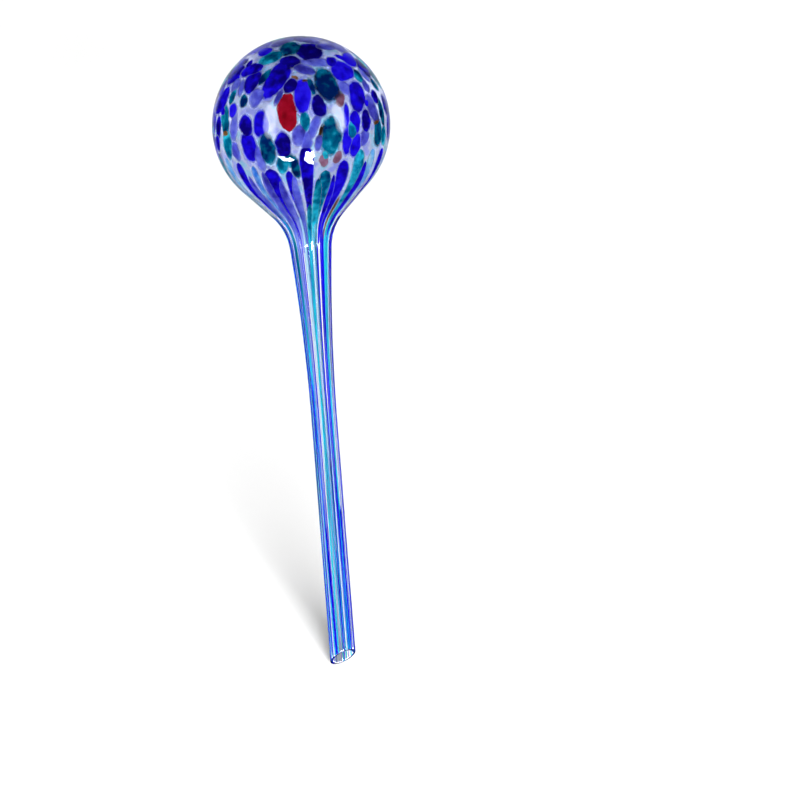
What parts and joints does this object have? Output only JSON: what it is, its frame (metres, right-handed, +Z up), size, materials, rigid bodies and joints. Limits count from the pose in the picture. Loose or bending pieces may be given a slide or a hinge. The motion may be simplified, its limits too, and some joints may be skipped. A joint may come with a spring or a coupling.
{
  "type": "watering globe",
  "caption": "Hand-blown glass watering globe: a round water bulb on a long hollow stem with a slant-cut tip, clear glass cased over colour chips that are drawn out into canes.",
  "frame": {"origin": "on the stem's axis, level with the lowest point of the slant-cut tip", "axes": "+Z up along the stem from the tip to the bulb, -Y towards the front of the globe"},
  "size_m": [0.082, 0.082, 0.295],
  "materials": {
    "clear_casing": "fire-polished clear glass",
    "clear_liner": "clear blown glass",
    "cobalt_glass": "deep cobalt glass",
    "violet_glass": "violet-blue glass",
    "teal_glass": "teal glass",
    "red_glass": "opaque red glass",
    "plum_glass": "plum-brown glass",
    "amber_glass": "brown amber glass",
    "sky_glass": "pale sky-blue glass"
  },
  "bodies": {
    "root": {"clear_casing": "clear_casing", "clear_liner": "clear_liner", "cobalt_chips": "cobalt_glass", "violet_chips": "violet_glass", "teal_chips": "teal_glass", "red_chips": "red_glass", "plum_chips": "plum_glass", "amber_chips": "amber_glass", "cobalt_canes": "cobalt_glass", "teal_canes": "teal_glass", "sky_canes": "sky_glass"}
  },
  "joints": []
}
